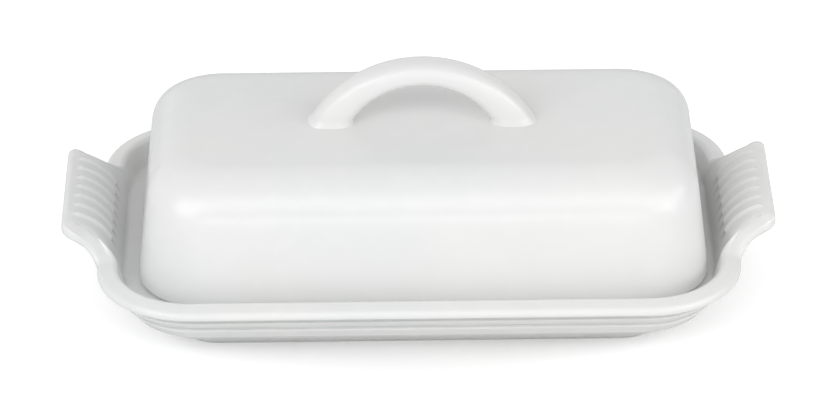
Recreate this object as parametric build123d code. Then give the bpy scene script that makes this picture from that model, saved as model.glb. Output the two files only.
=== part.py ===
from build123d import *
import os
from math import cos, pi, radians, sin, tan

# Covered butter dish in glazed stoneware: a tray with two fluted grips, and a lid with a strap
# handle that lifts off.  Units are millimetres.  +X runs from grip to grip, +Y runs back from the
# front, +Z is up.  The origin is on the table, under the middle of the dish.

# Overall driving sizes.
LENGTH = 230.0
RIM_LENGTH = 207.2
RIM_WIDTH = 126.4
RIM_RADIUS = 31.0
SEAT_Z = 19.0
FLOOR_Z = 8.0

# Outside of the wall, from the table up: (height, inset from the rim's outline).
WALL_OUTSIDE = [
    (0.0, 25.4),
    (1.2, 24.4),
    (9.8, 12.4),
    (11.0, 11.2),
    (15.2, 8.2),
    (15.9, 8.8),
    (16.7, 7.4),
    (17.3, 6.6),
    (SEAT_Z, 5.3),
]
# Corner radius lost for each millimetre of inset.
CORNER_SHARE = 0.62
# Well inside the seat, and the recess inside the foot ring: (height, inset).
WELL_MOUTH = (SEAT_Z, 20.5)
WELL_FLOOR = (FLOOR_Z, 27.0)
WELL_ROUND = 5.0
RECESS_MOUTH = (0.0, 30.0)
RECESS_TOP = (2.4, 31.0)

# Rim, from its base inside the wall, up the inner face, over the lip and down the outer face:
# (inset, height).
LIP_BASE_Z = 17.5
RIM_SECTION = [
    (9.4, LIP_BASE_Z),
    (9.1, 20.0),
    (8.5, 22.6),
    (7.7, 24.8),
    (6.7, 26.2),
    (5.4, 27.0),
    (4.0, 27.2),
    (2.5, 26.9),
    (1.1, 26.1),
    (0.1, 24.9),
    (0.1, 24.0),
    (0.7, 23.3),
    (1.8, 22.7),
    (3.2, 22.0),
    (4.6, 20.8),
    (5.3, LIP_BASE_Z),
]
# Grip, at the middle of an end wall.  Its upper face is an arc about this point.
GRIP_ARC_INSET = -11.4
GRIP_ARC_Z = 21.0
GRIP_ARC_RADIUS = 17.0
GRIP_ARC_ANGLES = (156.8, 147.0, 137.0, 127.0, 117.0, 108.0, 99.0)
GRIP_BASE_INSET = 8.5
GRIP_REACH = (LENGTH - RIM_LENGTH) / 2
GRIP_TIP = [
    (0.6 - GRIP_REACH, 37.5),
    (0.0 - GRIP_REACH, 35.7),
    (0.7 - GRIP_REACH, 33.8),
]
GRIP_UNDERSIDE = [
    (-7.2, 32.0),
    (-2.6, 29.4),
    (0.9, 25.2),
    (3.6, 20.4),
]
# In plan the grip is a tab with rounded corners, and a hollow curve leads from its sides to the rim.
GRIP_HALF_WIDTH = 27.2
GRIP_CORNER = 4.6
RIM_CORNER_Y = RIM_WIDTH / 2 - RIM_RADIUS
GRIP_HOLLOW = RIM_CORNER_Y - GRIP_HALF_WIDTH
CORNER_TURNS = (0.0, 20.0, 40.0, 60.0, 80.0)
# The grip's height falls to the rim's slowly at first: the power says how slowly.
GRIP_FALL = 1.67

# Flutes on the grips.
FLUTE_COUNT = 7
FLUTE_PITCH = 5.95
FLUTE_RADIUS = 1.9
FLUTE_DEPTH = 0.7
FLUTE_ANGLES = (107.5, 162.0)

# Lid.
LID_LENGTH = 184.0
LID_WIDTH = 97.0
LID_RADIUS = 22.6
LID_TOP_Z = 60.8
LID_DRAFT = 7.0
LID_WALL = 5.0
LID_SHOULDER = 14.0
LID_FOOT_ROUND = 1.2
# The lid stands a little towards +X on its seat, within its play.
LID_X = 1.5

# Strap handle on the lid: an arch between two arcs, on two spread feet.
ARCH_TOP_Z = 82.5
ARCH_OUTER_X = 36.5
ARCH_INNER_X = 22.5
STRAP_THICKNESS = 8.0
STRAP_WIDTH = 11.0
STRAP_ROUND = 3.2
FOOT_LENGTH = 16.6
FOOT_WIDTH = 13.0
FOOT_ROUND = 5.8
FOOT_HEIGHT = 1.5
FOOT_SPREAD = 1.6


def outline(z, inset):
    """Rounded rectangle at height z, set in from the rim's outline."""
    radius = RIM_RADIUS - CORNER_SHARE * inset
    return Pos(0, 0, z) * RectangleRounded(RIM_LENGTH - 2 * inset, RIM_WIDTH - 2 * inset, radius)


def layer(low, high):
    """Solid between two outlines, each (height, inset)."""
    return loft([outline(*low), outline(*high)], ruled=True)


def wall():
    """Foot, stepped outer wall and seat, with the well and the foot recess cut out."""
    body = layer(WALL_OUTSIDE[0], WALL_OUTSIDE[1])
    for low, high in zip(WALL_OUTSIDE[1:-1], WALL_OUTSIDE[2:]):
        body += layer(low, high)
    well = layer(WELL_FLOOR, WELL_MOUTH)
    well = fillet(well.faces().sort_by(Axis.Z)[0].edges(), WELL_ROUND)
    return body - well - layer(RECESS_MOUTH, RECESS_TOP)


def lip_face(points):
    """Closed section: a spline over the lip, and a straight base inside the wall."""
    return make_face([Spline(*points), Line(points[-1], points[0])])


def rim_parts():
    """Rim round the four corners, and along the front and the back."""
    corner_x = RIM_LENGTH / 2 - RIM_RADIUS
    turned = revolve(Plane.XZ * lip_face([(RIM_RADIUS - i, z) for i, z in RIM_SECTION]), Axis.Z, 90)
    across = lip_face([(RIM_WIDTH / 2 - i, z) for i, z in RIM_SECTION])
    side = extrude(Plane.YZ * across, corner_x, both=True)
    parts = [side, Rot(0, 0, 180) * side]
    for angle, sign_x, sign_y in ((0, 1, 1), (90, -1, 1), (180, -1, -1), (270, 1, -1)):
        parts.append(Pos(sign_x * corner_x, sign_y * RIM_CORNER_Y, 0) * Rot(0, 0, angle) * turned)
    return parts


def grip_arc_point(angle, radius=GRIP_ARC_RADIUS):
    """Point on the grip's upper face, as (inset, height)."""
    turn = radians(angle)
    return GRIP_ARC_INSET - radius * cos(turn), GRIP_ARC_Z + radius * sin(turn)


def grip_section():
    """Grip at the middle of an end wall, point for point with the rim's section."""
    upper = [grip_arc_point(angle) for angle in GRIP_ARC_ANGLES]
    base = (GRIP_BASE_INSET, LIP_BASE_Z)
    return [base] + upper + GRIP_TIP + GRIP_UNDERSIDE + [RIM_SECTION[-1]]


def grip_stations():
    """Half of the grip's tab in plan: (distance from the middle, share of the reach, of the rise)."""
    full_y = GRIP_HALF_WIDTH - GRIP_CORNER
    spots = []
    for turn in CORNER_TURNS:
        drop = GRIP_CORNER * (1 - cos(radians(turn)))
        spots.append((full_y + GRIP_CORNER * sin(radians(turn)), 1 - drop / GRIP_REACH))
    for turn in reversed(CORNER_TURNS):
        rise = GRIP_HOLLOW * (1 - cos(radians(turn)))
        spots.append((RIM_CORNER_Y - GRIP_HOLLOW * sin(radians(turn)), rise / GRIP_REACH))
    stations = []
    for y, reach in spots:
        run = (y - full_y) / (RIM_CORNER_Y - full_y)
        stations.append((y, reach, 0.5 + 0.5 * cos(pi * run ** GRIP_FALL)))
    return stations


def grip():
    """End wall at +X with its grip, between the two corners."""
    half = grip_stations()
    section = grip_section()
    faces = []
    for y, reach, rise in [(-y, reach, rise) for y, reach, rise in reversed(half)] + half:
        points = [
            (RIM_LENGTH / 2 - rim[0] - reach * (full[0] - rim[0]), rim[1] + rise * (full[1] - rim[1]))
            for rim, full in zip(RIM_SECTION, section)
        ]
        faces.append(Plane(origin=(0, y, 0), x_dir=(1, 0, 0), z_dir=(0, -1, 0)) * lip_face(points))
    return loft(faces, ruled=True)


def flute():
    """Cutter for one flute: a round bar bent along the grip's upper face, with ball ends."""
    radius = GRIP_ARC_RADIUS + FLUTE_RADIUS - FLUTE_DEPTH
    start, end = FLUTE_ANGLES
    places = []
    for angle in (start, (start + end) / 2, end):
        inset, z = grip_arc_point(angle, radius)
        places.append((RIM_LENGTH / 2 - inset, 0, z))
    path = ThreePointArc(*places)
    bar = sweep(Plane(origin=path @ 0, z_dir=path % 0) * Circle(FLUTE_RADIUS), path=path)
    return bar + Pos(*places[0]) * Sphere(FLUTE_RADIUS)


def dish():
    """Tray: stepped wall, rim, and a fluted grip at each end."""
    end = grip()
    body = wall()
    for part in rim_parts():
        body += part
    body += end
    body += Rot(0, 0, 180) * end
    cutter = flute()
    middle = (FLUTE_COUNT - 1) / 2
    for i in range(FLUTE_COUNT):
        placed = Pos(0, (i - middle) * FLUTE_PITCH, 0) * cutter
        body -= placed
        body -= Rot(0, 0, 180) * placed
    return body


def lid_block(inset, top_z, shoulder):
    """Drafted block with a rounded shoulder: the lid's outside, or its hollow."""
    rise = top_z - SEAT_Z
    gain = rise * tan(radians(LID_DRAFT))
    faces = []
    for z, step in ((SEAT_Z, inset), (top_z, inset + gain)):
        radius = LID_RADIUS - CORNER_SHARE * step
        plan = RectangleRounded(LID_LENGTH - 2 * step, LID_WIDTH - 2 * step, radius)
        faces.append(Pos(0, 0, z) * plan)
    block = loft(faces, ruled=True)
    return fillet(block.faces().sort_by(Axis.Z)[-1].edges(), shoulder)


def lid_shell():
    """Lid: a hollow drafted cover, open below, with a rounded edge where it stands on the seat."""
    shell = lid_block(0, LID_TOP_Z, LID_SHOULDER)
    shell -= lid_block(LID_WALL, LID_TOP_Z - LID_WALL, LID_SHOULDER - LID_WALL)
    shell = fillet(shell.faces().sort_by(Axis.Z)[0].edges(), LID_FOOT_ROUND)
    return Pos(LID_X, 0, 0) * shell


def arch_face():
    """Front view of the arch: between its outer and inner arcs, cut level at the lid's top."""
    low = LID_TOP_Z
    outer = ThreePointArc((-ARCH_OUTER_X, low), (0, ARCH_TOP_Z), (ARCH_OUTER_X, low))
    inner = ThreePointArc((ARCH_INNER_X, low), (0, ARCH_TOP_Z - STRAP_THICKNESS), (-ARCH_INNER_X, low))
    left = Line((-ARCH_INNER_X, low), (-ARCH_OUTER_X, low))
    right = Line((ARCH_OUTER_X, low), (ARCH_INNER_X, low))
    return make_face([outer, right, inner, left])


def lid_handle():
    """Strap handle: the arch, rounded along its edges, and its two spread feet."""
    arch = extrude(Plane.XZ * arch_face(), STRAP_WIDTH / 2, both=True)
    long_edges = [e for e in arch.edges() if e.geom_type == GeomType.CIRCLE]
    handle = fillet(long_edges, STRAP_ROUND)
    foot_x = (ARCH_OUTER_X + ARCH_INNER_X) / 2
    base = RectangleRounded(FOOT_LENGTH, FOOT_WIDTH, FOOT_ROUND)
    spread = Pos(0, 0, LID_TOP_Z) * base
    neck = Pos(0, 0, LID_TOP_Z + FOOT_HEIGHT) * offset(base, -FOOT_SPREAD)
    foot = loft([spread, neck], ruled=True)
    handle += Pos(foot_x, 0, 0) * foot
    handle += Pos(-foot_x, 0, 0) * foot
    return Pos(LID_X, 0, 0) * handle


PARTS = {
    "dish": dish,
    "lid_shell": lid_shell,
    "lid_handle": lid_handle,
}

os.makedirs("parts", exist_ok=True)
for name, make in PARTS.items():
    shape = make()
    export_step(shape, f"parts/{name}.step")
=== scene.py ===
import bpy
import numpy as np
from math import cos, pi, radians, sin, tan
from mathutils import Matrix, Vector

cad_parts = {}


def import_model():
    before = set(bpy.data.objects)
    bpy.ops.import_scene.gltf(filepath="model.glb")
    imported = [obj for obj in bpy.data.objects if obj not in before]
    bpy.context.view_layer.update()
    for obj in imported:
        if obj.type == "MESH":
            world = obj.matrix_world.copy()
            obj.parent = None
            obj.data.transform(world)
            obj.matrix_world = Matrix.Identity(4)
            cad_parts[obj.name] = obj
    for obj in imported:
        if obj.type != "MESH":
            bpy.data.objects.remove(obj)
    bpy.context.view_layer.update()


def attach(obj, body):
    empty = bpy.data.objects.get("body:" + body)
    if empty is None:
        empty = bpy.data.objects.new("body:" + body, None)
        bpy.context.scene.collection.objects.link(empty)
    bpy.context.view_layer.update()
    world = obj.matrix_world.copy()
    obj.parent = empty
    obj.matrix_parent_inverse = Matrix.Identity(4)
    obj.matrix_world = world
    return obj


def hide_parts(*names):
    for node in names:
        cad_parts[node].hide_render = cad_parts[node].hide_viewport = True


# Covered butter dish in white glazed stoneware.  The shapes below are worked out in millimetres,
# in the frame's own axes, and turned into metres where a mesh is made.
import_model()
MM = 0.001

# Dish.
LENGTH = 230.0
RIM_LENGTH = 207.2
RIM_WIDTH = 126.4
RIM_RADIUS = 31.0
SEAT_Z = 19.0
FLOOR_Z = 8.0
RECESS_Z = 2.4
# Sections run this far in from the rim, and the ends of the mesh are closed from there.
DISH_SECTION_END = 50.0
# Towards the middle the plan's corners tighten by this share of the inset, down to the least.
DISH_CORNER_TAPER = 0.6
DISH_LEAST_CORNER = 3.0

# Grips: a tab drawn out of the rim at each end.
GRIP_HALF_WIDTH = 27.2
GRIP_CORNER = 4.6
GRIP_REACH = (LENGTH - RIM_LENGTH) / 2
# How late the grip's height falls away to the rim's, past its corner.
GRIP_FALL = 1.75
# Rows keep parallel to the outer edge as far in as this.
EDGE_BAND = 4.0
# The nose ends this many rows past the middle of its rounding.
NOSE_ROWS = 4
# The edge between grip and rim rolls over, with a slight lift inside the roll.
ROLL_RADIUS = 5.0
ROLL_LIFT = 0.8
ROLL_LIFT_WIDTH = 12.0
NOSE_RADIUS = 1.9

# Easing of the grip's flank: how far each point looks round itself, the stations covered, and
# the rows and stations over which the easing comes in and goes out.
EASE_REACH = 1.5
EASED = slice(34, 76)
EASE_ROWS = (6, 4)
EASE_STATIONS = (8, 10)

FLUTE_COUNT = 7
FLUTE_PITCH = 5.95
FLUTE_HALF_WIDTH = 1.6
FLUTE_DEPTH = 1.0
FLUTE_FROM = 6.9
FLUTE_TO = 21.5
# Flutes stay within this distance in from the rim's end.
FLUTE_ZONE = 12.0

# Stations round a quarter of the dish.
TIP_STATIONS = 48
BLEND_STATIONS = 32
RIM_CORNER_STATIONS = 22
RIM_SIDE_STATIONS = 25

# Lid.
LID_LENGTH = 184.0
LID_WIDTH = 97.0
LID_RADIUS = 22.6
LID_TOP_Z = 60.8
LID_DRAFT = 6.9
LID_WALL = 5.0
LID_END_SHOULDER = 14.0
LID_SIDE_SHOULDER = 17.0
LID_OUTER_LIP = 1.3
LID_INNER_LIP = 1.2
LID_SECTION_END = 46.0
LID_CORNER_TAPER = 0.62
LID_LEAST_CORNER = 2.0
# The lid stands a little towards +X on its seat, within its play.
LID_X = 1.5

# Stations round a quarter of the lid.
LID_END_STATIONS = 20
LID_CORNER_STATIONS = 26
LID_SIDE_STATIONS = 36

# Strap handle.
ARCH_TOP_Z = 82.4
ARCH_OUTER_X = 36.3
ARCH_INNER_X = 22.7
STRAP_THICKNESS = 7.9
STRAP_WIDTH = 10.9
# Power of the strap's section: 1 is an ellipse, and less is squarer.
STRAP_SQUARENESS = 0.72
FOOT_HEIGHT = 2.2
FOOT_SPREAD = 0.8
FOOT_SINK = 0.25
HANDLE_RINGS = 97
STRAP_STATIONS = 48


# ---------------------------------------------------------------- curves and meshes

def rounded(corners, span=2):
    """Points along a polyline with rounded corners, and the index of each corner's middle point.

    A corner is (x, y, radius) or (x, y, radius, steps round it).  The first and last corners are
    the line's ends, so they have no middle.
    """
    corners = [(np.array(c[:2], float), c[2], c[3] if len(c) > 3 else 4) for c in corners]
    points = [corners[0][0]]
    middles = []
    last = corners[0][0]
    for (before, _, _), (here, radius, steps), (after, _, _) in zip(corners, corners[1:], corners[2:]):
        back = (before - here) / np.linalg.norm(before - here)
        on = (after - here) / np.linalg.norm(after - here)
        half = np.arccos(np.clip(back @ on, -1, 1)) / 2
        reach = radius / np.tan(half)
        start, end = here + back * reach, here + on * reach
        centre = here + (back + on) / np.linalg.norm(back + on) * radius / np.sin(half)
        points += [last + (start - last) * k / span for k in range(1, span)]
        middles.append(len(points) + steps // 2)
        turn = pi - 2 * half
        for k in range(steps + 1):
            t = k / steps
            arm = (start - centre) * sin((1 - t) * turn) + (end - centre) * sin(t * turn)
            points.append(centre + arm / np.linalg.norm(arm) * radius)
        last = end
    finish = corners[-1][0]
    points += [last + (finish - last) * k / span for k in range(1, span + 1)]
    return np.array(points), middles


def grid_mesh(name, rings):
    """Closed smooth mesh from rings of points, with a fan of triangles over each end ring.

    Seen from outside, each ring lies to the right of the way the one before it runs.
    """
    rings = np.asarray(rings, float)
    count, size = rings.shape[:2]
    last = (count - 1) * size
    middle = count * size
    verts = (rings.reshape(-1, 3) * MM).tolist()
    verts += [list(rings[0].mean(0) * MM), list(rings[-1].mean(0) * MM)]
    faces = []
    for j in range(size):
        k = (j + 1) % size
        for start in range(0, last, size):
            faces.append((start + j, start + size + j, start + size + k, start + k))
        faces.append((j, k, middle))
        faces.append((last + k, last + j, middle + 1))
    mesh = bpy.data.meshes.new(name)
    mesh.from_pydata(verts, [], faces)
    mesh.validate()
    for polygon in mesh.polygons:
        polygon.use_smooth = True
    piece = bpy.data.objects.new(name, mesh)
    bpy.context.scene.collection.objects.link(piece)
    return piece


def all_round(quarter):
    """The four quarters of a symmetric ring from its +X+Y quarter, anticlockwise from +X."""
    left = quarter[-2::-1] * np.array([-1, 1, 1])
    back = np.concatenate([quarter, left])
    front = back[-2:0:-1] * np.array([1, -1, 1])
    return np.concatenate([back, front])


def round_point(way, half_x, half_y, radius):
    """Point on the +X+Y quarter of a rounded rectangle.

    A way is (run, share along it), and the runs are end, corner and side.
    """
    run, t = way
    if run == "end":
        return half_x, t * (half_y - radius)
    if run == "corner":
        turn = t * pi / 2
        return half_x - radius * (1 - cos(turn)), half_y - radius * (1 - sin(turn))
    return (1 - t) * (half_x - radius), half_y


def mix(a, b, share):
    return a + (b - a) * share


# ---------------------------------------------------------------- dish

# Corners of the wall's section, as (inset from the rim's outside, height, rounding, steps).
INSIDE_CORNERS = [
    (DISH_SECTION_END, FLOOR_Z, 0),
    (27.0, FLOOR_Z, 5.0),
    (20.5, SEAT_Z, 1.5),
]
# The rim and the grip have the same corners: the foot of the wall on the seat, the inner edge,
# the nose, two under it, and the crease above the ridges.
RIM_CORNERS = [
    (8.9, SEAT_Z, 1.8, 8),
    (6.3, 27.3, 2.0, 26),
    (0.0, 25.9, NOSE_RADIUS, 8),
    (0.2, 23.3, 0.8),
    (1.4, 23.0, 0.5, 10),
    (6.2, 19.8, 0.3),
]
GRIP_CORNERS = [
    (7.9, SEAT_Z, 1.8, 8),
    (0.45, 36.3, 17.0, 26),
    (-GRIP_REACH, 38.1, NOSE_RADIUS, 8),
    (-GRIP_REACH, 32.9, 1.8),
    (0.8, 31.2, 8.0, 10),
    (5.2, 19.9, 0.3),
]
# Two ridges, the sloping wall, the foot ring and the recess inside it.
OUTSIDE_CORNERS = [
    (5.0, 19.4, 0.3),
    (7.0, 16.9, 0.4),
    (9.3, 15.3, 0.25),
    (8.1, 15.0, 0.35),
    (11.2, 10.8, 1.6),
    (24.2, 1.2, 1.0),
    (25.4, 0.0, 0.5),
    (30.0, 0.0, 0.5),
    (31.0, RECESS_Z, 0.8),
    (DISH_SECTION_END, RECESS_Z, 0),
]
NOSE_CORNER = 2


def grip_flank(s, lengths):
    """Place and turn of the outer edge at a distance from the tab's flat tip round to the rim."""
    corner, flank, fillet = lengths
    tab_x, rim_x = LENGTH / 2, RIM_LENGTH / 2
    fillet_radius = fillet / (pi / 2)
    if s < corner:
        turn = s / GRIP_CORNER
        x = tab_x - GRIP_CORNER * (1 - cos(turn))
        return x, GRIP_HALF_WIDTH - GRIP_CORNER * (1 - sin(turn)), turn
    if s < corner + flank:
        return tab_x - GRIP_CORNER - (s - corner), GRIP_HALF_WIDTH, pi / 2
    turn = pi / 2 - (s - corner - flank) / fillet_radius
    x = rim_x + fillet_radius * (1 - cos(turn))
    return x, RIM_WIDTH / 2 - RIM_RADIUS - fillet_radius * sin(turn), turn


def edge_quarter():
    """A quarter of the dish's outer edge in plan.

    Gives its points, inward normals, ways, how much each is grip, and how much its edge rolls.
    """
    rim_x = RIM_LENGTH / 2
    straight_y = RIM_WIDTH / 2 - RIM_RADIUS
    fillet = straight_y - GRIP_HALF_WIDTH
    flat_y = GRIP_HALF_WIDTH - GRIP_CORNER
    flank = LENGTH / 2 - GRIP_CORNER - rim_x - fillet
    lengths = [GRIP_CORNER * pi / 2, flank, fillet * pi / 2]
    blend = sum(lengths)
    stations = []
    for y in np.linspace(0, flat_y, TIP_STATIONS, endpoint=False):
        stations.append((LENGTH / 2, y, 0, ("end", y / straight_y), 1, 0))
    for s in np.linspace(0, blend, BLEND_STATIONS, endpoint=False):
        t = s / blend
        way = ("end", mix(flat_y / straight_y, 1, t))
        fall = (1 + cos(pi * t ** GRIP_FALL)) / 2
        stations.append((*grip_flank(s, lengths), way, fall, sin(pi * t) ** 2))
    centre_x = rim_x - RIM_RADIUS
    for t in np.linspace(0, 1, RIM_CORNER_STATIONS, endpoint=False):
        turn = t * pi / 2
        x, y = centre_x + RIM_RADIUS * cos(turn), straight_y + RIM_RADIUS * sin(turn)
        stations.append((x, y, turn, ("corner", t), 0, 0))
    for t in np.linspace(0, 1, RIM_SIDE_STATIONS):
        stations.append(((1 - t) * centre_x, RIM_WIDTH / 2, pi / 2, ("side", t), 0, 0))
    x, y, turns, ways, shares, rolls = zip(*stations)
    inward = [(-cos(turn), -sin(turn)) for turn in turns]
    return np.column_stack([x, y]), np.array(inward), ways, np.array(shares), np.array(rolls)


def plan_row(ways, insets, core):
    """A row of the dish in plan; its corners stay concentric as far in as core."""
    row = []
    for way, inset in zip(ways, insets):
        tight = DISH_CORNER_TAPER * max(inset - core, 0)
        radius = max(RIM_RADIUS - min(inset, core) - tight, DISH_LEAST_CORNER)
        row.append(round_point(way, RIM_LENGTH / 2 - inset, RIM_WIDTH / 2 - inset, radius))
    return np.array(row)


def eased(points, reach):
    """Heights of a patch after each is taken from the plane that fits its neighbourhood best."""
    flat = points.reshape(-1, 3)
    offset = flat[None, :, :2] - flat[:, None, :2]
    weight = np.exp(-(offset ** 2).sum(-1) / (2 * reach ** 2))
    basis = np.concatenate([np.ones(offset.shape[:2] + (1,)), offset], 2)
    weighted = basis * weight[..., None]
    # The small addition keeps a neighbourhood on one line solvable.
    left = np.einsum("abi,abj->aij", weighted, basis) + np.eye(3) * 1e-6
    right = np.einsum("abi,b->ai", weighted, flat[:, 2])
    return np.linalg.solve(left, right[..., None])[:, 0, 0].reshape(points.shape[:2])


def ease_share(rows, stations):
    """How much of the easing each point of the patch takes: none along its sides."""
    row, station = np.arange(rows), np.arange(stations)
    down = np.minimum(row / EASE_ROWS[0], (rows - 1 - row) / EASE_ROWS[1])
    first = np.clip(station / EASE_STATIONS[0], 0, 1)
    last = np.clip((stations - 1 - station) / EASE_STATIONS[1], 0, 1)
    return np.clip(down, 0, 1)[:, None] * first * last


def rolled(width):
    """How far a rolled edge drops at a distance in from its outside, less its lift inside that."""
    near = 1 - np.clip(width, NOSE_RADIUS, ROLL_RADIUS) / ROLL_RADIUS
    lift = ROLL_LIFT * np.clip(1 - width / ROLL_LIFT_WIDTH, 0, 1)
    return ROLL_RADIUS * (1 - np.sqrt(1 - near ** 2)) - lift


def dish_rows(plain, full, junction, nose, crease):
    """Rows of a quarter of the dish, from its floor over the rim and down its outside.

    plain is the section through the rim, and full the one through the middle of a grip.  Between
    junction and crease a row follows the outer edge and then blends into the plan further in.
    """
    edge, inward, ways, share, roll = edge_quarter()
    rows = []
    for row, ((inset, z), (grip_inset, grip_z)) in enumerate(zip(plain, full)):
        core = plain[junction][0] if row < nose else plain[crease][0]
        height = mix(z, grip_z, share)
        if junction < row < crease:
            end = junction if row < nose else crease
            width = mix(inset, grip_inset + GRIP_REACH, share)
            whole = mix(plain[end][0], full[end][0] + GRIP_REACH, share)
            inner_end = plan_row(ways, mix(plain[end][0], full[end][0], share), core)
            part = np.clip((width - EDGE_BAND) / (whole - EDGE_BAND), 0, 1)[:, None]
            band = edge + inward * np.minimum(width, EDGE_BAND)[:, None]
            ring = mix(band, inner_end, part)
            # Past the nose the roll's drop stays as it is there, and fades out to the crease.
            if row <= nose:
                drop = rolled(width) * roll
            height = height - drop * min((crease - row) / (crease - nose), 1)
        else:
            ring = plan_row(ways, mix(inset, grip_inset, share), core)
        rows.append(np.column_stack([ring, height]))
    return np.array(rows)


def flute_depth(along, y):
    """How deep the flutes cut at a distance along the section from the grip's tip."""
    centres = (np.arange(FLUTE_COUNT) - (FLUTE_COUNT - 1) / 2) * FLUTE_PITCH
    across = np.abs(y[..., None] - centres).min(-1)
    beyond = np.maximum(np.maximum(FLUTE_FROM - along, along - FLUTE_TO), 0)
    away = np.minimum(np.hypot(across, beyond) / FLUTE_HALF_WIDTH, 1)
    return FLUTE_DEPTH * (1 + np.cos(pi * away)) / 2


def cut_flutes(rings, full, junction, nose):
    """Sink the flutes into the grips' upper faces, square to the surface."""
    along_rows = np.gradient(rings, axis=0)
    round_ring = np.roll(rings, -1, 1) - np.roll(rings, 1, 1)
    normal = np.cross(round_ring, along_rows)
    normal /= np.linalg.norm(normal, axis=2)[..., None]
    top = slice(junction + 1, nose)
    steps = np.linalg.norm(np.diff(full[junction:nose + 1], axis=0), axis=1)
    along = steps[::-1].cumsum()[::-1][:-1]
    at_end = np.abs(rings[top, :, 0]) > RIM_LENGTH / 2 - FLUTE_ZONE
    depth = flute_depth(along[:, None], rings[top, :, 1]) * at_end
    rings[top] -= normal[top] * depth[..., None]


def dish():
    plain, middles = rounded(INSIDE_CORNERS + RIM_CORNERS + OUTSIDE_CORNERS)
    full, _ = rounded(INSIDE_CORNERS + GRIP_CORNERS + OUTSIDE_CORNERS)
    # The section's first corner has no middle, so the rim's corners start one place early.
    rim_middles = middles[len(INSIDE_CORNERS) - 1:][:len(RIM_CORNERS)]
    junction, crease = rim_middles[0], rim_middles[-1]
    nose = rim_middles[NOSE_CORNER] + NOSE_ROWS
    rows = dish_rows(plain, full, junction, nose, crease)
    patch = rows[junction + 1:nose, EASED]
    patch[..., 2] = mix(patch[..., 2], eased(patch, EASE_REACH), ease_share(*patch.shape[:2]))
    rings = np.array([all_round(row) for row in rows])
    cut_flutes(rings, full, junction, nose)
    return grid_mesh("dish_glazed", rings)


# ---------------------------------------------------------------- lid

def lid_section(shoulder):
    """Section of the lid, down its outside and back up its hollow, as (inset, height)."""
    gain = (LID_TOP_Z - SEAT_Z) * tan(radians(LID_DRAFT))
    inner_top = LID_TOP_Z - LID_WALL
    inner_gain = (inner_top - SEAT_Z) * tan(radians(LID_DRAFT))
    return rounded([
        (LID_SECTION_END, LID_TOP_Z, 0),
        (gain, LID_TOP_Z, shoulder, 18),
        (0.0, SEAT_Z, LID_OUTER_LIP, 8),
        (LID_WALL, SEAT_Z, LID_INNER_LIP),
        (LID_WALL + inner_gain, inner_top, shoulder - LID_WALL, 12),
        (LID_SECTION_END, inner_top, 0),
    ], span=8)[0]


def lid():
    ways = [("end", t) for t in np.linspace(0, 1, LID_END_STATIONS, endpoint=False)]
    ways += [("corner", t) for t in np.linspace(0, 1, LID_CORNER_STATIONS, endpoint=False)]
    ways += [("side", t) for t in np.linspace(0, 1, LID_SIDE_STATIONS)]
    side_share = {"end": 0, "side": 1}
    shares = np.array([side_share.get(run, sin(t * pi / 2) ** 2) for run, t in ways])
    rings = []
    for end_point, side_point in zip(lid_section(LID_END_SHOULDER), lid_section(LID_SIDE_SHOULDER)):
        row = []
        for way, share in zip(ways, shares):
            inset, height = mix(end_point, side_point, share)
            half_x, half_y = LID_LENGTH / 2 - inset, LID_WIDTH / 2 - inset
            radius = min(max(LID_RADIUS - LID_CORNER_TAPER * inset, LID_LEAST_CORNER), half_y)
            row.append((*round_point(way, half_x, half_y, radius), height))
        rings.append(all_round(np.array(row)))
    return grid_mesh("lid_glazed", np.array(rings) + [LID_X, 0, 0])


# ---------------------------------------------------------------- handle

def arch(half_chord, top_z):
    """Place on an arch that stands on the lid's top, for t from -1 at one foot to 1 at the other."""
    rise = top_z - LID_TOP_Z
    radius = (half_chord ** 2 + rise ** 2) / (2 * rise)
    limit = np.arcsin(half_chord / radius)
    return lambda t: np.array([radius * sin(limit * t), top_z - radius + radius * cos(limit * t)])


def squared(wave):
    return np.sign(wave) * np.abs(wave) ** STRAP_SQUARENESS


def handle():
    outer = arch(ARCH_OUTER_X, ARCH_TOP_Z)
    inner = arch(ARCH_INNER_X, ARCH_TOP_Z - STRAP_THICKNESS)
    turn = np.linspace(0, 2 * pi, STRAP_STATIONS, endpoint=False)
    across = squared(np.sin(turn)) * STRAP_WIDTH / 2
    along = squared(np.cos(turn))
    foot_x = (ARCH_OUTER_X + ARCH_INNER_X) / 2
    rings = []
    # Rings crowd towards the feet, where the strap spreads.
    for step in np.linspace(-pi / 2, pi / 2, HANDLE_RINGS):
        t = sin(step)
        middle, up = (outer(t) + inner(t)) / 2, (outer(t) - inner(t)) / 2
        ring = np.column_stack([middle[0] + up[0] * along, across, middle[1] + up[1] * along])
        near = np.clip(1 - (ring[:, 2] - LID_TOP_Z) / FOOT_HEIGHT, 0, 1)
        away = ring[:, :2] - [np.sign(t) * foot_x, 0]
        away /= np.linalg.norm(away, axis=1)[:, None]
        ring[:, :2] += away * (near ** 2 * FOOT_SPREAD)[:, None]
        # Only the very foot sinks into the lid's glaze.
        ring[:, 2] -= near ** 8 * FOOT_SINK
        rings.append(ring)
    return grid_mesh("handle_glazed", np.array(rings) + [LID_X, 0, 0])


# ---------------------------------------------------------------- materials

GLAZE_COOL = (0.735, 0.745, 0.745, 1)
GLAZE_WARM = (0.765, 0.765, 0.752, 1)
GLAZE_MILKY = (0.780, 0.782, 0.778, 1)
# Blue-grey of pooled glaze, dark enough to paint the shade of hollows and creases.
GLAZE_POOLED_SHADE = (0.58, 0.61, 0.61, 1)
GLAZE_THIN = (0.775, 0.762, 0.735, 1)
SPECK = (0.30, 0.25, 0.20, 1)
CLAY = (0.62, 0.52, 0.41, 1)
CLAY_ROUGHNESS = 0.85

# Noises, as (scale, detail): drifts of tint, milky mottling, orange peel and slow waves.
CLOUDS = (14, 2)
MOTTLE = (160, 3)
PEEL = (520, 1)
WAVES = (38, 1)

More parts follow.
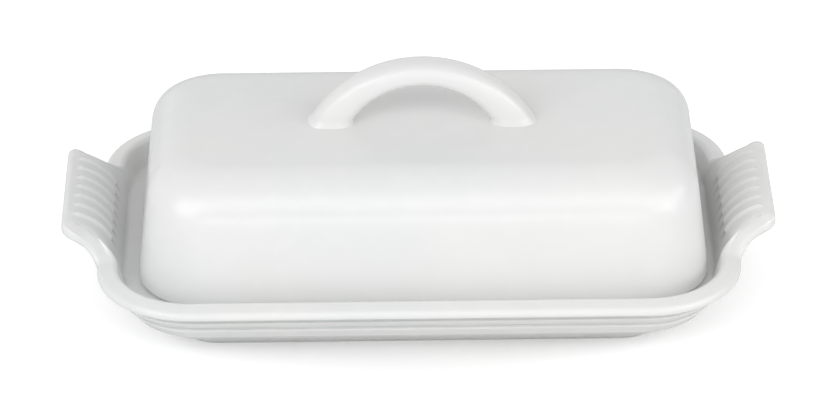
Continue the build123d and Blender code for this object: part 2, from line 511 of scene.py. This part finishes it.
# Ramps, as (source from, source to, result there, result there).
WARM_RAMP = (0.3, 0.7, 0.0, 1.0)
MILKY_RAMP = (0.45, 0.75, 0.0, 0.35)
POOLED_SHADE_RAMP = (0.497, 0.44, 0.0, 0.75)
THIN_RAMP = (0.515, 0.60, 0.0, 0.35)
ROUGHNESS_RAMP = (0.3, 0.7, 0.225, 0.265)
SPECK_CHOICE_RAMP = (0.982, 0.986, 0.0, 1.0)
SPECK_SIZE_RAMP = (0.045, 0.02, 0.0, 0.15)
SPECK_SCALE = 105

# The glaze stops a little above the standing edge, along a line that wanders.
BARE_WANDER = 0.0006
BARE_NONE = 0.0003
BARE_WHOLE = 0.0001

PEEL_SHARE = 0.05
BUMP_STRENGTH = 0.35
BUMP_DEPTH = 0.0004


def node(tree, kind, **values):
    """New node; each value goes to the node's property of that name, or else to its input."""
    made = tree.nodes.new(kind)
    for name, value in values.items():
        if hasattr(made, name):
            setattr(made, name, value)
        else:
            made.inputs[name.replace("_", " ")].default_value = value
    return made


def calc(tree, operation, *values):
    """A Math node's result; each value is a number or a socket."""
    made = node(tree, "ShaderNodeMath", operation=operation)
    for value, socket in zip(values, made.inputs):
        if isinstance(value, (int, float)):
            socket.default_value = value
        else:
            tree.links.new(value, socket)
    return made.outputs[0]


def ramp(tree, source, low, high, to_low, to_high):
    """Smooth step: source from low to high becomes to_low to to_high."""
    made = node(tree, "ShaderNodeMapRange", interpolation_type="SMOOTHSTEP", From_Min=low,
                From_Max=high, To_Min=to_low, To_Max=to_high)
    tree.links.new(source, made.inputs["Value"])
    return made.outputs["Result"]


def blended(tree, share, a, b):
    """Colour mix of a and b, each a colour or a socket, by the share socket."""
    made = node(tree, "ShaderNodeMix", data_type="RGBA")
    tree.links.new(share, made.inputs["Factor"])
    for value, socket in ((a, made.inputs[6]), (b, made.inputs[7])):
        if isinstance(value, tuple):
            socket.default_value = value
        else:
            tree.links.new(value, socket)
    return made.outputs[2]


def noise(tree, place, kind):
    scale, detail = kind
    made = node(tree, "ShaderNodeTexNoise", Scale=scale, Detail=detail)
    tree.links.new(place, made.inputs["Vector"])
    return made.outputs["Fac"]


def glaze_colour(tree, clouds, mottle):
    """White that drifts from cool to warm, goes pooled blue-grey in hollows as painted shade and is
    thin on sharp edges.
    """
    bend = tree.nodes.new("ShaderNodeNewGeometry").outputs["Pointiness"]
    base = blended(tree, ramp(tree, clouds, *WARM_RAMP), GLAZE_COOL, GLAZE_WARM)
    base = blended(tree, ramp(tree, mottle, *MILKY_RAMP), base, GLAZE_MILKY)
    # Painted shade: hollows and creases darken towards the pooled blue-grey.
    base = blended(tree, ramp(tree, bend, *POOLED_SHADE_RAMP), base, GLAZE_POOLED_SHADE)
    return blended(tree, ramp(tree, bend, *THIN_RAMP), base, GLAZE_THIN)


def specks(tree, place):
    """How much of each point is pinhole or iron speck, a few to the hand's breadth."""
    cells = node(tree, "ShaderNodeTexVoronoi", Scale=SPECK_SCALE)
    tree.links.new(place, cells.inputs["Vector"])
    picked = tree.nodes.new("ShaderNodeSeparateColor")
    tree.links.new(cells.outputs["Color"], picked.inputs[0])
    chosen = ramp(tree, picked.outputs[0], *SPECK_CHOICE_RAMP)
    spot = ramp(tree, cells.outputs["Distance"], *SPECK_SIZE_RAMP)
    return calc(tree, "MULTIPLY", chosen, spot)


def bareness(tree, place, mottle, bare_height):
    """How much of each point is unglazed clay: all of it below bare_height."""
    parts = tree.nodes.new("ShaderNodeSeparateXYZ")
    tree.links.new(place, parts.inputs[0])
    edge = calc(tree, "MULTIPLY_ADD", mottle, BARE_WANDER, parts.outputs["Z"])
    return ramp(tree, edge, bare_height + BARE_NONE, bare_height + BARE_WHOLE, 0.0, 1.0)


def surface(tree, place):
    """Normal of orange peel over the slow waves of a hand-finished mould."""
    height = calc(tree, "MULTIPLY_ADD", noise(tree, place, PEEL), PEEL_SHARE, noise(tree, place, WAVES))
    bump = node(tree, "ShaderNodeBump", Strength=BUMP_STRENGTH, Distance=BUMP_DEPTH)
    tree.links.new(height, bump.inputs["Height"])
    return bump.outputs["Normal"]


def glaze(name, bare_height):
    """White glaze over stoneware; below bare_height the piece stands unglazed on its edge."""
    material = bpy.data.materials.new(name)
    material.use_nodes = True
    tree = material.node_tree
    shader = tree.nodes["Principled BSDF"]
    place = tree.nodes.new("ShaderNodeTexCoord").outputs["Object"]
    clouds = noise(tree, place, CLOUDS)
    mottle = noise(tree, place, MOTTLE)
    bare = bareness(tree, place, mottle, bare_height)
    glazed = blended(tree, specks(tree, place), glaze_colour(tree, clouds, mottle), SPECK)
    tree.links.new(blended(tree, bare, glazed, CLAY), shader.inputs["Base Color"])
    rough = node(tree, "ShaderNodeMix", data_type="FLOAT")
    tree.links.new(bare, rough.inputs["Factor"])
    tree.links.new(ramp(tree, clouds, *ROUGHNESS_RAMP), rough.inputs[2])
    rough.inputs[3].default_value = CLAY_ROUGHNESS
    tree.links.new(rough.outputs[0], shader.inputs["Roughness"])
    tree.links.new(surface(tree, place), shader.inputs["Normal"])
    return material


# ---------------------------------------------------------------- stage

CAMERA_ELEVATION = 29.99
CAMERA_TURN = 0.67
CAMERA_ROLL = 0.342
CAMERA_DISTANCE = 1.551
SENSOR_WIDTH = 36.0
VIEW_WIDTH = 0.2715
# Framing: how far the picture's centre lies right of and above the aim, in picture widths.
FRAME_RIGHT = -0.0026
FRAME_ABOVE = 0.0018
AIM = Vector((0, 0, 0.030))

# The world's brightness: the same from everywhere, and more from these sides.
WORLD_BASE = 0.06
WORLD_SIDES = [("Y", 1, 0.75), ("X", -1, 0.60), ("Z", 1, 0.25)]
FLOOR_HALF = 3.0
FLOOR_WHITE = (0.78, 0.78, 0.78, 1)
FLOOR_ROUGHNESS = 0.8
# The floor glows for the camera, less so close round the foot, which paints a soft shadow there.
GLOW_NEAR_PAINTED_SHADOW = 0.22
GLOW_FAR = 0.44
GLOW_FROM = 0.045
GLOW_TO = 0.08
GLOW_LENGTH_SHARE = 0.62
# name, width and height, place, watts
LIGHTS = [
    ("left_front", (1.1, 1.1), (-1.15, -1.1, 0.9), 11.0),
    ("front_high", (1.6, 0.9), (0.0, -1.3, 1.3), 6.3),
    ("front_low", (1.6, 0.35), (0.0, -1.8, 0.25), 3.6),
    ("right_front", (1.1, 1.1), (1.15, -1.1, 0.9), 7.5),
    ("right_low", (0.6, 0.7), (1.5, -0.9, 0.45), 3.0),
    ("right", (1.0, 0.8), (1.6, -0.2, 0.7), 5.5),
]


def placed(name, data):
    item = bpy.data.objects.new(name, data)
    bpy.context.scene.collection.objects.link(item)
    return item


def camera():
    data = bpy.data.cameras.new("camera")
    data.sensor_width = SENSOR_WIDTH
    data.lens = SENSOR_WIDTH * CAMERA_DISTANCE / VIEW_WIDTH
    data.shift_x = FRAME_RIGHT
    data.shift_y = FRAME_ABOVE
    elevation, turn = radians(CAMERA_ELEVATION), radians(CAMERA_TURN)
    back = Vector((-sin(turn) * cos(elevation), -cos(turn) * cos(elevation), sin(elevation)))
    look = (-back).to_track_quat("-Z", "Y").to_matrix()
    item = placed("camera", data)
    item.location = AIM + back * CAMERA_DISTANCE
    item.rotation_euler = (look @ Matrix.Rotation(-radians(CAMERA_ROLL), 3, "Z")).to_euler()
    bpy.context.scene.camera = item


def light(name, size, place, power):
    data = bpy.data.lights.new(name, "AREA")
    data.shape = "RECTANGLE"
    data.size, data.size_y = size
    data.energy = power
    item = placed(name, data)
    item.location = place
    item.rotation_euler = (AIM - Vector(place)).to_track_quat("-Z", "Y").to_euler()


def world():
    """Soft surroundings, brightest behind and to the left."""
    item = bpy.data.worlds.new("world")
    bpy.context.scene.world = item
    item.use_nodes = True
    tree = item.node_tree
    place = tree.nodes.new("ShaderNodeTexCoord")
    parts = tree.nodes.new("ShaderNodeSeparateXYZ")
    tree.links.new(place.outputs["Generated"], parts.inputs[0])
    total = WORLD_BASE
    for axis, side, gain in WORLD_SIDES:
        facing = calc(tree, "MULTIPLY", parts.outputs[axis], side * gain)
        total = calc(tree, "ADD", total, calc(tree, "MAXIMUM", facing, 0))
    background = tree.nodes["Background"]
    background.inputs["Color"].default_value = (1, 1, 1, 1)
    tree.links.new(total, background.inputs["Strength"])


def floor():
    """Pale floor, kept white in the picture by a glow that only the camera sees, dimmed round the foot
    as painted shadow.
    """
    mesh = bpy.data.meshes.new("floor")
    corners = [(x * FLOOR_HALF, y * FLOOR_HALF, 0) for x, y in ((-1, -1), (1, -1), (1, 1), (-1, 1))]
    mesh.from_pydata(corners, [], [(0, 1, 2, 3)])
    material = bpy.data.materials.new("floor")
    material.use_nodes = True
    tree = material.node_tree
    shader = tree.nodes["Principled BSDF"]
    shader.inputs["Base Color"].default_value = FLOOR_WHITE
    shader.inputs["Roughness"].default_value = FLOOR_ROUGHNESS
    shader.inputs["Emission Color"].default_value = (1, 1, 1, 1)
    place = tree.nodes.new("ShaderNodeTexCoord")
    squeeze = node(tree, "ShaderNodeVectorMath", operation="MULTIPLY")
    tree.links.new(place.outputs["Object"], squeeze.inputs[0])
    squeeze.inputs[1].default_value = (GLOW_LENGTH_SHARE, 1, 1)
    away = node(tree, "ShaderNodeVectorMath", operation="LENGTH")
    tree.links.new(squeeze.outputs["Vector"], away.inputs[0])
    # Painted shadow: the glow is weaker close round the foot.
    level = ramp(tree, away.outputs["Value"], GLOW_FROM, GLOW_TO, GLOW_NEAR_PAINTED_SHADOW, GLOW_FAR)
    seen = tree.nodes.new("ShaderNodeLightPath").outputs["Is Camera Ray"]
    tree.links.new(calc(tree, "MULTIPLY", seen, level), shader.inputs["Emission Strength"])
    mesh.materials.append(material)
    placed("floor", mesh)


bpy.context.scene.view_settings.view_transform = "Standard"
pieces = [
    (dish(), "dish", "dish", "dish_glaze", 0.0),
    (lid(), "lid", "lid_shell", "lid_glaze", SEAT_Z * MM),
    (handle(), "lid", "lid_handle", "handle_glaze", 0.0),
]
for piece, body, part, slot, bare_height in pieces:
    piece.data.materials.append(glaze("white_" + slot, bare_height))
    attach(piece, body)
    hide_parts(part)
camera()
for name, size, place, power in LIGHTS:
    light(name, size, place, power)
world()
floor()
